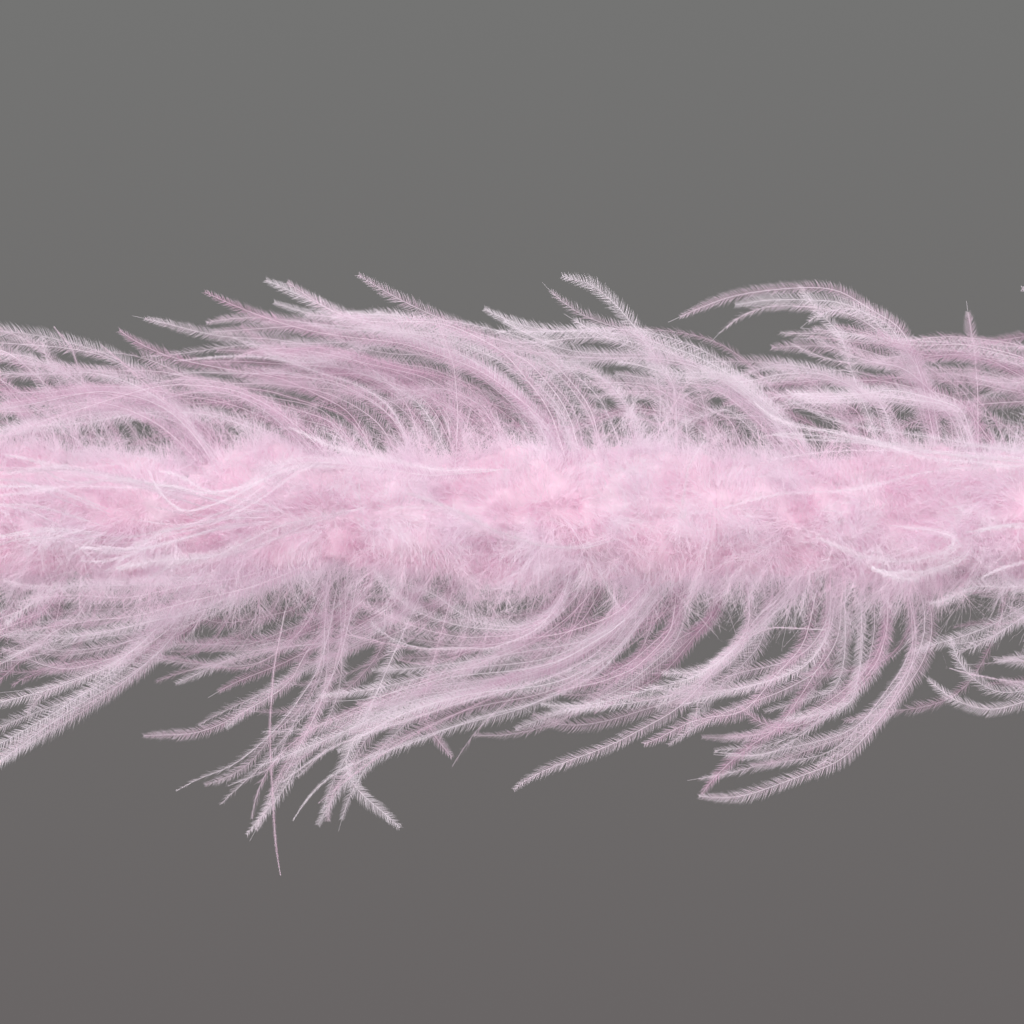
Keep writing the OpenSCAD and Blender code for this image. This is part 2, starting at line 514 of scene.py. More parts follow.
def down_heart(bundle, start, end, radius, ends):
    """The dense heart of the down: a lumpy closed body that fills the gaps between strands."""
    rings, corners = 44, 64
    overlap = 1.5
    x = np.linspace(start - overlap, end + overlap, rings)
    from_end = np.minimum(x - x[0], x[-1] - x)
    sunk = 1 - 0.08 * np.clip(1 - from_end / 2.2, 0, 1)
    angle = 2 * np.pi * np.arange(corners) / corners
    shoulder, _ = rounding_at(x, ends)
    ring = around(angle)[None] * (radius * shoulder * sunk)[:, None, None]
    points = ring + x[:, None, None] * ALONG
    lumps = soft_noise(points, 5, 15)
    lumps = lumps + 0.6 * soft_noise(points, 6, 6) + 0.3 * soft_noise(points, 4, 3)
    points = points + ring * (0.24 * (lumps - 0.95) + bulk_at(points) - 1)[..., None]
    uv = np.empty((rings, corners, 2))
    uv[..., 0] = 0.08 + 0.1 * soft_noise(points, 7, 9)
    uv[..., 1] = 0.1 + 0.4 * paleness_at(points)
    row = np.arange(rings - 1)[:, None] * corners
    c = np.arange(corners)[None]
    d = (c + 1) % corners
    quads = np.stack([row + c, row + d, row + d + corners, row + c + corners], axis=-1)
    bundle.add(points, uv, quads=quads)
    fan = np.arange(1, corners - 1)
    bundle.add(points[0], uv[0], tris=np.stack([0 * fan, fan + 1, fan], axis=-1))
    bundle.add(points[-1], uv[-1], tris=np.stack([0 * fan, fan, fan + 1], axis=-1))


def felt(bundle, start, end, radius, ends, rng):
    """Short soft strands out of the heart, some of them standing and some combed flat."""
    n = FELT_PER_SECTION
    out = around(rng.uniform(0, 2 * np.pi, n))
    x = rng.uniform(start, end, (n, 1))
    width, lean = rounding_at(x, ends)
    roots = ALONG * x + out * radius
    roots += out * radius * (bulk_at(roots)[:, None] * rng.uniform(0.88, 1.12, (n, 1)) * width - 1)
    standing = (rng.random((n, 1)) < STANDING).astype(float)
    lie = (1 - 0.6 * standing) * swirl(roots, out) + rng.normal(0, 0.35, (n, 3))
    aim = unit((0.5 + 0.8 * standing) * (out * width + ALONG * lean) + lie)
    length = rng.uniform(5, 9, (n, 1)) + 3.5 * standing * rng.random((n, 1))
    mids = roots + aim * 0.5 * length
    tips = mids + unit(aim + 0.4 * out + rng.normal(0, 0.3, (n, 3))) * 0.5 * length
    side = unit(np.cross(aim, out + rng.normal(0, 0.5, (n, 3))))
    v = np.clip(paleness_at(roots) + rng.normal(0, 0.12, n), 0, 1)
    width = rng.uniform(0.13, 0.27, n) * (1 - 0.25 * standing[:, 0])
    spikes(bundle, roots, mids, tips, side, width, (0.1, 0.4, 0.8), v)


def fuzz_on(bundle, strands, tangents, per_strand, reach, v, rng):
    """Fine fuzz on every side of (N, K, 3) strands."""
    n, k_count = strands.shape[:2]
    total = n * per_strand
    which = np.repeat(np.arange(n), per_strand)
    place = rng.uniform(0.05, 0.999, total) * (k_count - 1)
    k = place.astype(int)
    f = (place - k)[:, None]
    roots = strands[which, k] * (1 - f) + strands[which, k + 1] * f
    t = tangents[which, k]
    away = square_to(unit(rng.normal(size=(total, 3))), t)
    tips = roots + unit(away + 0.8 * t) * rng.uniform(*reach, (total, 1))
    side = np.cross(away, t)
    slivers(bundle, roots, tips, side, rng.uniform(0.06, 0.11, total), place / k_count, v[which])


def wisps(bundle, start, end, radius, ends, rng):
    """Long single filaments that float out past the rest of the down."""
    n = WISPS_PER_SECTION
    out = around(rng.uniform(0, 2 * np.pi, n))
    x = rng.uniform(start, end, (n, 1))
    width, lean = rounding_at(x, ends)
    roots = out * 0.7 * radius * width + ALONG * x
    direction = unit(out * width + ALONG * lean + rng.normal(0, 0.3, (n, 3)))
    length = radius * rng.uniform(0.5, 1.25, n)
    bend = rng.normal(0, 0.2, (n, 3)) - ALONG * 0.15
    strands = bent(roots, direction, length, bend, WISP_POINTS)
    phase = rng.uniform(0, 2 * np.pi, (n, 1, 3))
    t = np.linspace(0, 1, WISP_POINTS)[None, :, None]
    strands = strands + 0.9 * t * np.sin(phase + rng.uniform(4, 10, (n, 1, 3)) * t)
    tangents = headings(strands)
    side = square_to(unit(rng.normal(size=(n, 1, 3))), tangents)
    v = rng.uniform(0.1, 0.7, n)
    width = np.linspace(0.12, 0.05, WISP_POINTS)[None].repeat(n, 0)
    ribbons(bundle, strands, side, width, np.linspace(0.2, 1, WISP_POINTS), v[:, None])
    fuzz_on(bundle, strands, tangents, FUZZ_PER_WISP, (0.8, 2.2), v, rng)


def bent(start, direction, length, bend, count):
    """(N, count, 3) curves from start along direction, bending towards bend."""
    t = np.linspace(0, 1, count)[None, :, None]
    reach = length[:, None, None]
    return start[:, None] + reach * (direction[:, None] * t + bend[:, None] * t * t)


def plumes(bundle, start, end, radius, ends, rng):
    """Small plumes: shafts out of the core, barbs on every side of them and fuzz on those."""
    n = PLUMES_PER_SECTION
    out = around(rng.uniform(0, 2 * np.pi, n))
    x = rng.uniform(start, end, (n, 1))
    wide, lean = rounding_at(x, ends)
    roots = out * PLUME_ROOT_R * wide + ALONG * (x - 5 * lean)
    flatter = 0.5 + 0.9 * np.abs(out[:, 1:2])         # towards the front and the back
    comb = swirl(roots + out * 20, out) * flatter
    direction = unit(out * wide + ALONG * lean + 0.3 * comb + rng.normal(0, 0.26, (n, 3)))
    length = rng.uniform(0.38, 0.84, n) * radius * bulk_at(roots + out * 8)
    length = length * np.where(rng.random(n) < LONG_PLUMES, LONGER, 1)
    bend = 0.3 * comb + rng.normal(0, 0.1, (n, 3)) - ALONG * 0.05
    shafts = bent(roots, direction, length, bend, PLUME_POINTS)
    paleness = np.clip(paleness_at(shafts[:, PLUME_POINTS - 2]) + rng.normal(0, 0.14, n), 0, 1)
    width = np.linspace(0.26, 0.08, PLUME_POINTS)[None].repeat(n, 0)
    side = square_to(unit(rng.normal(size=(n, 1, 3))), headings(shafts))
    ribbons(bundle, shafts, side, width, np.linspace(0.1, 0.8, PLUME_POINTS), paleness[:, None])

    m = BARBS_PER_PLUME
    s = rng.uniform(0.12, 1.0, (n, m))
    place = s * (PLUME_POINTS - 1)
    k = np.minimum(place.astype(int), PLUME_POINTS - 2)
    f = (place - k)[..., None]
    rows = np.arange(n)[:, None]
    base = shafts[rows, k] * (1 - f) + shafts[rows, k + 1] * f
    along = headings(shafts)[rows, k]
    away = square_to(unit(rng.normal(size=(n, m, 3))), along)
    spread = rng.uniform(0.12, 0.95, (n, m, 1))
    direction = unit(along * np.cos(spread) + away * np.sin(spread))
    reach = (rng.uniform(9, 18, (n, m)) * (1.15 - 0.3 * s)).ravel()
    base, direction = base.reshape(-1, 3), direction.reshape(-1, 3)
    lie = np.repeat(comb, m, axis=0) * 0.22
    bend = lie + rng.normal(0, 0.14, (n * m, 3)) - ALONG * 0.04 - UP * 0.04
    barbs = bent(base, direction, reach, bend, BARB_POINTS)
    wave = rng.normal(0, 0.14, (n * m, BARB_POINTS, 3))
    wave[:, 0] = 0
    barbs = barbs + wave
    tangents = headings(barbs)
    sides = square_to(unit(rng.normal(size=(n * m, 1, 3))), tangents)
    u = np.linspace(0.15, 1, BARB_POINTS)
    v = np.clip(paleness[:, None] + rng.normal(0, 0.12, (n, m)), 0, 1).ravel()
    width = np.linspace(0.15, 0.045, BARB_POINTS)[None] * rng.uniform(0.7, 1.3, (n * m, 1))
    ribbons(bundle, barbs, sides, width, u, v[:, None])

    fuzz_on(bundle, barbs, tangents, FUZZ_PER_BARB, (0.8, 1.9), v, rng)


def make_down(index, node, ends):
    """One section of down: its heart, felt, plumes and wisps."""
    rng = np.random.default_rng(100 + index)
    low, high = box_mm(node)
    start, end, radius = low[0] - OVERLAP, high[0] + OVERLAP, high[2]
    bundle = Bundle()
    down_heart(bundle, start, end, HEART_SHARE * radius, ends)
    felt(bundle, start, end, HEART_SHARE * radius, ends, rng)
    plumes(bundle, start, end, radius, ends, rng)
    wisps(bundle, start, end, radius, ends, rng)
    piece = bundle.build(node.replace("marabou_section", "marabou_down"), DOWN)
    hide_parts(node)


# ---- ostrich flues ----

FLUE_POINTS = 34
SHAFT_D = 0.3
CROSSING_SHAFT_D = 0.32
NEARLY_BARE = 0.25           # a single flue this dark in BUNCHES has hardly any barbules
WORN = 0.045                 # the share of the rest that have short barbules or none
BARBULE_STEP = 0.40
BARBULE_LENGTH = 5.2
BARBULE_CLUSTERS = (0.8, 0.8, 1.0, 1.2, 1.9)       # how far apart their tips gather
BEHIND_PER_TUFT = 13
HIGHEST = 106                # flues that rise above this bend over
CROSSING_START = -30         # the Y at which flues come out over the front of the down
FULLER = 1.8                 # one or two pale flues across the down are this much fuller

# Bunches of flues by tuft. Each has the points its middle flue runs through, as X and Z in
# millimetres from the tuft's tie; then the depth in Y of the tips (front is negative), how
# many flues, how far they spread, and how pale they are. That paleness is partly each
# bunch's own tone and partly painted shade: bunches behind the core are set darker for the
# shade of the flues in front, and those in front paler.
BUNCHES = {
    1: [
        ([(0, 20), (-10, 50), (-40, 72), (-110, 74)], 8, 6, 8, 0.5),
        ([(0, -20), (-5, -50), (-40, -80), (-110, -90)], 0, 5, 9, 0.5),
    ],
    2: [
        ([(0, 20), (-5, 42), (-30, 60), (-70, 66), (-115, 60)], 6, 5, 5, 0.5),
        ([(8, 24), (4, 45), (-5, 60), (-12, 78)], -4, 2, 2, 0.7),
        ([(24, 24), (12, 54), (0, 63), (-15, 68), (-45, 72)], 4, 3, 3, 0.6),
        ([(16, 40), (12, 55), (5, 72), (-3, 81)], -8, 1, 1, 0.1),
        ([(5, -20), (-5, -42), (-40, -58), (-90, -66)], -6, 4, 5, 0.6),
        ([(0, -20), (-10, -60), (-50, -80), (-100, -92)], 5, 3, 6, 0.4),
    ],
    3: [
        ([(16, 16), (9, 26), (1, 35), (-10, 44), (-25, 50), (-45, 53), (-85, 47), (-120, 38)],
         -14, 6, 3.5, 0.9),
        ([(8, 18), (0, 36), (-18, 54), (-38, 63), (-60, 65), (-85, 63), (-120, 54)], 2, 5, 3, 0.75),
        ([(20, 20), (8, 40), (-15, 56), (-45, 62), (-90, 60)], 10, 4, 5, 0.35),
        ([(0, 40), (-20, 58), (-27, 65), (-36, 73)], -8, 1, 1, 0.1),
        ([(4, -20), (-1, -30), (-10, -46), (-20, -60), (-33, -71), (-50, -80), (-85, -94), (-120, -104)],
         -6, 5, 2.5, 0.85),
        ([(4, -24), (-3, -44), (-10, -55), (-24, -69), (-41, -80), (-59, -92), (-90, -114), (-112, -128)],
         -2, 2, 1.2, 0.85),
        ([(4, -22), (-6, -42), (-15, -51), (-32, -60), (-50, -64), (-68, -64), (-85, -56), (-98, -44)],
         -10, 3, 2, 0.85),
        ([(10, -20), (0, -50), (-30, -66), (-80, -74)], 10, 3, 4, 0.35),
    ],
    4: [
        ([(3, 18), (-6, 31), (-18, 44), (-30, 53), (-41, 58), (-67, 60), (-102, 53), (-135, 46)],
         -10, 3, 2, 0.95),
        ([(6, 18), (-14, 38), (-40, 50), (-76, 58), (-116, 61), (-145, 62)], 2, 5, 3, 0.6),
        ([(14, 20), (0, 46), (-30, 58), (-70, 60), (-110, 56)], 12, 5, 6, 0.15),
        ([(0, -12), (-20, -22), (-44, -30), (-72, -34), (-90, -36), (-110, -34), (-142, -39)],
         -18, 5, 3, 0.95),
        ([(-4, -18), (-30, -34), (-60, -44), (-90, -47), (-142, -52)], -10, 5, 4, 0.8),
        ([(10, -20), (9, -30), (7, -46), (2, -73), (-7, -90), (-19, -104), (-30, -118), (-52, -129)],
         -2, 5, 3, 0.75),
        ([(8, -22), (9, -50), (4, -78), (-8, -98), (-20, -116), (-27, -138)], 4, 2, 2, 0.5),
        ([(-14, -40), (-19, -64), (-20, -90), (-19, -111), (-16, -132), (-12, -151)], -10, 1, 1, 0.1),
        ([(5, -24), (-5, -50), (-19, -64), (-33, -72), (-51, -74), (-72, -71), (-95, -60)], 0, 2, 2, 0.3),
        ([(8, -20), (-5, -44), (-40, -56), (-80, -56)], 14, 4, 5, 0.3),
    ],
    5: [
        ([(-13, 12), (-20, 36), (-24, 45), (-34, 54), (-50, 62), (-83, 70), (-123, 71), (-142, 68)],
         -4, 5, 2.5, 0.85),
        ([(0, 18), (-12, 42), (-30, 56), (-60, 64), (-110, 66)], 8, 4, 4, 0.3),
        ([(8, 18), (-4, 46), (-25, 62), (-60, 70), (-110, 70)], 14, 4, 4, 0.1),
        ([(2, 12), (3, 42), (1, 64), (-7, 82)], -16, 1, 1, 0.9),
        ([(-30, -30), (-68, -62), (-75, -78), (-86, -86), (-107, -97), (-123, -102), (-148, -103)],
         4, 1, 1, 0.4),
        ([(-8, -20), (-20, -42), (-50, -56), (-90, -66), (-125, -74)], 4, 5, 4, 0.6),
        ([(-5, -20), (-25, -60), (-47, -106), (-40, -118), (-32, -125), (-24, -133)], 4, 1, 1, 0.7),
        ([(5, -20), (-5, -60), (-11, -92), (-3, -104), (5, -111)], 6, 1, 1, 0.6),
        ([(5, -18), (-10, -40), (-40, -50), (-80, -52)], 14, 4, 5, 0.3),
    ],
    6: [
        ([(2, 13), (-9, 51), (-32, 77), (-66, 90), (-107, 94), (-122, 97), (-145, 102)],
         -8, 3, 1.8, 0.95),
        ([(12, 13), (4, 51), (-18, 76), (-48, 88), (-66, 95), (-87, 100), (-100, 103), (-112, 108)],
         -5, 4, 1.8, 0.9),
        ([(0, 13), (-12, 46), (-38, 72), (-72, 86), (-104, 90), (-136, 96)], -4, 4, 3, 0.85),
        ([(-2, 15), (-15, 42), (-44, 70), (-80, 86), (-100, 85), (-120, 76), (-134, 73), (-147, 74),
          (-161, 81), (-169, 87)], -6, 2, 1.2, 0.9),
        ([(-2, 15), (-15, 42), (-44, 65), (-80, 78), (-126, 82), (-169, 87)], 2, 3, 2, 0.35),
        ([(-26, 18), (-35, 42), (-62, 60), (-101, 70), (-150, 74)], 14, 5, 5, 0.05),
        ([(-29, 20), (-44, 51), (-66, 62), (-90, 62)], 6, 3, 5, 0.4),
        ([(26, 24), (22, 46), (6, 65), (-10, 70), (-32, 65)], -12, 3, 1.6, 0.95),
        ([(4, -22), (-6, -40), (-25, -56), (-53, -69), (-79, -81), (-106, -97), (-121, -111), (-137, -131)],
         0, 4, 3, 0.75),
        ([(10, -20), (-10, -70), (-79, -101), (-100, -116), (-114, -127), (-122, -134)], 6, 1, 1, 0.2),
        ([(-4, -26), (-9, -41), (-25, -50), (-47, -48), (-71, -38), (-92, -29)], -16, 3, 1.8, 0.95),
        ([(-2, -26), (-14, -46), (-34, -57), (-60, -58), (-84, -52)], -12, 2, 1.5, 0.95),
        ([(4, -20), (-15, -48), (-50, -64), (-90, -76)], 12, 4, 5, 0.4),
    ],
    7: [
        ([(-24, 20), (-22, 51), (-26, 73), (-39, 90), (-50, 101), (-63, 105)], -2, 1, 1, 0.85),
        ([(-9, 20), (-13, 55), (-31, 79), (-53, 88), (-74, 99)], 2, 2, 1.6, 0.8),
        ([(33, 24), (22, 46), (4, 59), (-22, 61), (-45, 65)], -12, 3, 2, 1.0),
        ([(10, 20), (0, 44), (-30, 54), (-65, 50)], 12, 4, 5, 0.4),
        ([(-21, -22), (-40, -48), (-66, -61), (-100, -66), (-133, -70), (-170, -76)], -8, 6, 3, 0.9),
        ([(-18, -26), (-48, -66), (-77, -81), (-111, -90), (-139, -101), (-165, -112), (-186, -124)],
         -2, 7, 2.6, 0.85),
        ([(-25, -30), (-66, -71), (-100, -79), (-133, -86), (-160, -103), (-187, -121)], 6, 4, 3, 0.5),
        ([(-10, -22), (-15, -55), (-34, -75), (-52, -84), (-80, -89)], 4, 4, 2.2, 0.6),
        ([(0, -20), (-5, -46), (-30, -66), (-70, -84)], 14, 4, 5, 0.3),
    ],
    8: [
        ([(-10, 20), (-34, 46), (-52, 59), (-78, 61), (-103, 65)], -10, 1, 1, 1.0),
        ([(-10, 20), (-30, 44), (-52, 62), (-72, 73), (-98, 77), (-140, 77), (-172, 83)], -4, 6, 2.2, 0.85),
        ([(19, 24), (6, 62), (0, 83), (-9, 92), (-18, 104)], -8, 1, 1, 0.95),
        ([(26, 24), (20, 48), (9, 56), (-7, 62), (-29, 64), (-60, 55)], -12, 4, 2.5, 0.95),
        ([(10, 20), (4, 46), (-25, 56), (-65, 50)], 8, 4, 5, 0.45),
        ([(-20, 20), (-40, 40), (-54, 51), (-76, 41)], -16, 3, 2.5, 0.95),
        ([(-10, -22), (-69, -80), (-99, -90), (-122, -95), (-144, -97)], 4, 4, 1.4, 0.7),
        ([(5, -22), (5, -54), (4, -70), (1, -82), (-20, -86), (-33, -89)], -6, 3, 2, 0.85),
        ([(-2, -22), (-4, -52), (-13, -66), (-29, -74), (-55, -82), (-78, -88)], -2, 4, 2.5, 0.7),
        ([(-34, -20), (-34, -45), (-41, -61), (-55, -72), (-88, -84)], 4, 4, 3, 0.6),
        ([(-6, -50), (-31, -48), (-44, -54), (-57, -63), (-63, -77), (-65, -88)], -14, 1, 1, 0.1),
        ([(0, -20), (-8, -56), (-36, -84), (-80, -92)], 14, 3, 5, 0.3),
    ],
    9: [
        ([(-12, 24), (-18, 59), (-27, 81), (-43, 87), (-55, 96), (-78, 98), (-101, 99), (-116, 95),
          (-130, 88)], -2, 2, 1.2, 0.9),
        ([(-16, 24), (-29, 81), (-38, 91), (-48, 102), (-61, 107), (-78, 109), (-96, 110), (-112, 107)],
         4, 1, 1, 0.5),
        ([(-14, 24), (-26, 64), (-42, 82), (-60, 84), (-84, 76)], 0, 2, 2, 0.8),
        ([(4, 24), (3, 60), (1, 79), (-5, 104)], -6, 1, 1, 0.85),
        ([(-1, 24), (-8, 52), (-23, 56), (-43, 60), (-70, 58), (-92, 54)], -10, 4, 2.5, 0.95),
        ([(10, 20), (-5, 52), (-40, 66), (-90, 64)], 10, 5, 5, 0.5),
        ([(-25, -22), (-19, -52), (-25, -69), (-39, -86), (-56, -103), (-79, -110), (-101, -116),
          (-119, -115)], -4, 4, 2, 0.9),
        ([(-34, -22), (-34, -52), (-39, -69), (-56, -86), (-72, -98), (-88, -106), (-108, -107)],
         2, 4, 2.5, 0.7),
        ([(-28, -22), (-24, -60), (-34, -84), (-50, -98), (-62, -108)], 8, 1, 2, 0.7),
    ],
    10: [
        ([(-7, 24), (-31, 68), (-69, 74), (-99, 70), (-130, 74)], -2, 6, 3, 0.85),
        ([(5, 24), (-15, 52), (-60, 60), (-110, 54)], 8, 5, 4, 0.6),
        ([(20, 30), (0, 90), (-20, 116), (-40, 120)], 0, 1, 2, 0.7),
        ([(2, -18), (-15, -26), (-31, -30), (-57, -32), (-75, -40)], -14, 3, 1.8, 0.95),
        ([(5, -22), (-31, -41), (-45, -50), (-57, -56), (-75, -62)], -8, 3, 2, 0.9),
        ([(10, -22), (-7, -68), (-31, -81), (-46, -85), (-62, -78), (-76, -65)], -6, 2, 1.4, 0.95),
        ([(0, -22), (-16, -62), (-31, -69), (-50, -70)], 0, 2, 1.6, 0.8),
        ([(10, -20), (5, -56), (-20, -78), (-50, -84)], 14, 3, 4, 0.45),
    ],
    11: [
        ([(0, 24), (-10, 60), (-50, 76), (-110, 76)], 4, 6, 7, 0.6),
        ([(5, 24), (0, 65), (-20, 88), (-50, 100)], 8, 3, 6, 0.6),
        ([(0, -24), (-10, -60), (-50, -82), (-110, -78)], -4, 5, 7, 0.7),
        ([(5, -24), (5, -70), (-10, -100), (-40, -116)], 6, 4, 7, 0.6),
    ],
}

# Bunches that lie across the front of the down, given in the same way
CROSSING = {
    1: [([(20, 4), (-20, 12), (-60, 8), (-90, -4)], -104, 4, 5, 0.8)],
    2: [([(15, -2), (-7, 11), (-29, 15), (-60, 14)], -60, 5, 5, 1.0),
        ([(20, -14), (-5, -12), (-30, -20), (-70, -18)], -90, 3, 4, 1.0)],
    3: [([(16, 4), (-19, 15), (-50, 20), (-85, 20)], -55, 6, 4, 1.0),
        ([(38, -1), (16, -3), (-6, -8), (-29, -15), (-51, -18)], -75, 5, 3.5, 1.0)],
    4: [([(12, 23), (-5, 24), (-19, 18), (-34, 8), (-54, 3), (-78, 10)], -60, 6, 3.5, 1.0),
        ([(20, 3), (-10, -3), (-40, -16), (-80, -18)], -100, 2, 2.5, 1.0)],
    5: [([(-11, 6), (-13, -20), (-11, -38)], -45, 1, 1, 0.2),
        ([(20, 20), (-10, 18), (-40, 22), (-80, 30)], -50, 2, 2.5, 1.0)],
    6: [([(14, -9), (-2, -14), (-22, -13), (-43, -6), (-63, 3), (-88, 9)], -95, 2, 0.9, 1.0)],
    7: [([(-4, 33), (-13, 20), (-15, 7), (-17, -3)], -75, 1, 0.8, 0.4)],
    8: [([(20, -4), (46, -7), (53, -11), (47, -17), (23, -23), (1, -21), (-24, -9)], -70, 1, 0.8, 1.0),
        ([(54, -13), (48, -19), (23, -26), (2, -25)], -90, 2, 0.9, 1.0)],
    9: [([(20, 20), (-20, 24), (-60, 30), (-110, 38)], -60, 2, 3, 1.0)],
    10: [([(10, 24), (-31, 26), (-59, 29), (-99, 33), (-130, 37), (-175, 41)], -40, 5, 2.5, 1.0),
         ([(10, 0), (-30, -6), (-70, -4)], -100, 3, 4, 0.9)],
    11: [([(10, 4), (-30, 12), (-70, 6)], -104, 4, 6, 0.8)],
}


def smooth_line(points, count):
    """An even curve that runs smoothly by the points, with its two ends kept."""
    points = np.array(points, float)
    run = np.concatenate([[0], np.cumsum(np.linalg.norm(np.diff(points, axis=0), axis=1))])
    at = np.linspace(0, run[-1], 6 * count)
    fine = np.stack([np.interp(at, run, c) for c in points.T], axis=-1)
    window = np.hanning(2 * (6 * count // 10) + 3)[1:-1]
    pad = len(window) // 2
    before = 2 * fine[0] - fine[pad:0:-1]
    after = 2 * fine[-1] - fine[-2:-pad - 2:-1]
    fine = np.concatenate([before, fine, after])
    fine = np.stack([np.convolve(c, window / window.sum(), "valid") for c in fine.T], axis=-1)
    return fine[np.linspace(0, len(fine) - 1, count).astype(int)]


def guided(tie_x, bunch, rng, outside):
    """The middle lines of a bunch's flues, (N, K, 3), and how pale each one is. They stand
    out from the core if outside is true, and lie across the front of the down if not."""
    points, depth, count, spread, pale = bunch
    line = smooth_line(points, FLUE_POINTS)
    s = np.linspace(0, 1, FLUE_POINTS)
    if outside:
        root_y = np.clip(1.6 * depth, -13, 13)
        y = root_y + (depth - root_y) * np.minimum(2 * s, 1)
    else:
        y = CROSSING_START + (depth - CROSSING_START) * np.sin(0.55 * np.pi * s)
    middle_line = np.stack([tie_x + line[:, 0], y, line[:, 1]], axis=-1)
    step = np.diff(middle_line, axis=0)[None].repeat(count, 0)
    loose = 0.0 if count == 1 else 1.0
    # each flue leaves the middle line by a turn, a bend, a few waves and a curl at its tip
    turn = rng.normal(0, 0.07, (count, 1)) * spread / 4
    bend = rng.normal(0, 0.15, (count, 1)) * spread / 4 * s[1:]
    phase = rng.uniform(0, 2 * np.pi, (count, 1))
    waves = rng.uniform(1.2, 2.6, (count, 1))
    sway = rng.uniform(0.05, 0.22, (count, 1)) * np.sin(2 * np.pi * waves * s[1:] + phase) * s[1:]
    near_tip = np.clip((s[1:] - 0.68) / 0.32, 0, 1) ** 1.5
    curl = np.clip(rng.standard_t(3, (count, 1)), -4, 4) * 0.22 * near_tip
    angle = turn + bend + sway * (0.35 + 0.65 * loose) + curl * loose
    c, w = np.cos(angle), np.sin(angle)
    dx, dy, dz = step[..., 0], step[..., 1], step[..., 2]
    turned = np.stack([dx * c - dz * w, dy, dx * w + dz * c], axis=-1)
    turned *= rng.uniform(0.84, 1.06, (count, 1, 1))
    scatter = [1, 0.6 if outside else 0.1, 0.8]
    start = middle_line[0] + rng.normal(0, 0.8 * spread, (count, 3)) * scatter
    travel = np.concatenate([np.zeros((count, 1, 3)), np.cumsum(turned, axis=1)], axis=1)
    paths = start[:, None] + travel
    paths[..., 0] += rng.normal(0, 1.5 * spread, (count, 1)) * (1 - s) ** 1.5
    if outside:
        reach = np.clip(rng.normal(0, 26 if count > 1 else 9, (count, 1)), -60, 60)
        paths[..., 1] += reach * s**1.2
    paths[..., 2] -= 0.75 * np.maximum(paths[..., 2] - HIGHEST, 0)
    return paths, np.full(count, float(pale)) + rng.normal(-0.05, 0.28, count)


def radiating(tie_x, count, rng):
    """Middle lines of the flues behind, which stand out from the back of the core."""
    angle = rng.normal(np.pi / 2, 0.6, count)
    out = around(angle)
    below = 0.5 - 0.5 * np.cos(angle)
    reach = (84 + 20 * below) * rng.uniform(0.75, 1.1, count)
    sweep = rng.normal(70, 22, count)
    x = tie_x + rng.uniform(-24, 24, count)
    s = np.linspace(0, 1, FLUE_POINTS)[None, :, None]
    rise = np.sin(0.5 * np.pi * s) ** 0.9
    drift = 8 * s - (sweep[:, None, None] + 8) * s**2.2
    paths = out[:, None] * (8 + reach[:, None, None] * rise) + ALONG * (x[:, None, None] + drift)
    phase = rng.uniform(0, 6, (count, 3, 1))
    waves = rng.uniform(1, 2, (count, 3, 1))
    sway = np.sin(phase + 2 * np.pi * waves * s[..., 0])
    paths = paths + (2.5 * sway * s[..., 0]).transpose(0, 2, 1)
    # Painted shade: the flues behind the core get low paleness, darker than those in front.
    return paths, rng.uniform(0.15, 0.65, count)


def add_barbules(bundle, path, axes, run, longest, tones, phase, rng):
    """The two rows of barbules on one flue, their tips gathered in uneven clusters."""
    tangents, across, flat = axes
    count = int(0.92 * run / BARBULE_STEP)
    bare = rng.choice([0.0, 0.0, 0.0, 5.0]) / run         # one in four has a bare tip
    gather = rng.choice(BARBULE_CLUSTERS)
    at = np.linspace(0.06, 0.997 - bare, count)
    from_ends = np.minimum(5 * at, 6 * (at[-1] + 0.02 - at))
    swell = np.clip(from_ends, 0.02, 1) ** 0.45
    along = at * run
    uneven = along + 0.5 * gather * np.sin(along * 1.3 / gather + phase) * np.sin(along / 7)
    nearest = np.round(uneven / gather) * gather
    pull = ((nearest - uneven) * 0.75)[:, None]
    for side in (-1, 1):
        jitter = at + rng.normal(0, 0.12 * BARBULE_STEP / run, count)
        place = np.clip(jitter, 0, 0.9999) * (FLUE_POINTS - 1)
        k = place.astype(int)
        f = (place - k)[:, None]
        root = path[k] * (1 - f) + path[k + 1] * f
        t, a, b = tangents[k], across[k], flat[k]
        length = longest * swell * rng.uniform(0.8, 1.1, count)
        lift = rng.normal(0.2, 0.28, count)[:, None]
        out = a * side * np.cos(lift) - b * np.sin(lift)
        opened = np.clip(rng.normal(1.1 - 0.3 * at**2, 0.08, count), 0.4, 1.5)[:, None]
        aim = t * np.cos(opened) + out * np.sin(opened)
        mid = root + aim * 0.55 * length[:, None] + t * 0.6 * pull
        tip = root + (aim + t * 0.1) * length[:, None] + t * pull
        tilt = rng.normal(0, 0.35, count)[:, None]
        edge = np.cross(aim, b) * np.cos(tilt) + b * np.sin(tilt)
        tone = np.interp(at, np.linspace(0, 1, FLUE_POINTS), tones)
        tone = np.clip(tone + rng.normal(0, 0.1, count), 0.02, 0.98)
        width = rng.uniform(0.12, 0.19, count)
        spikes(bundle, root, mid, tip, edge, width, (0.3, 0.6, 0.98), tone)


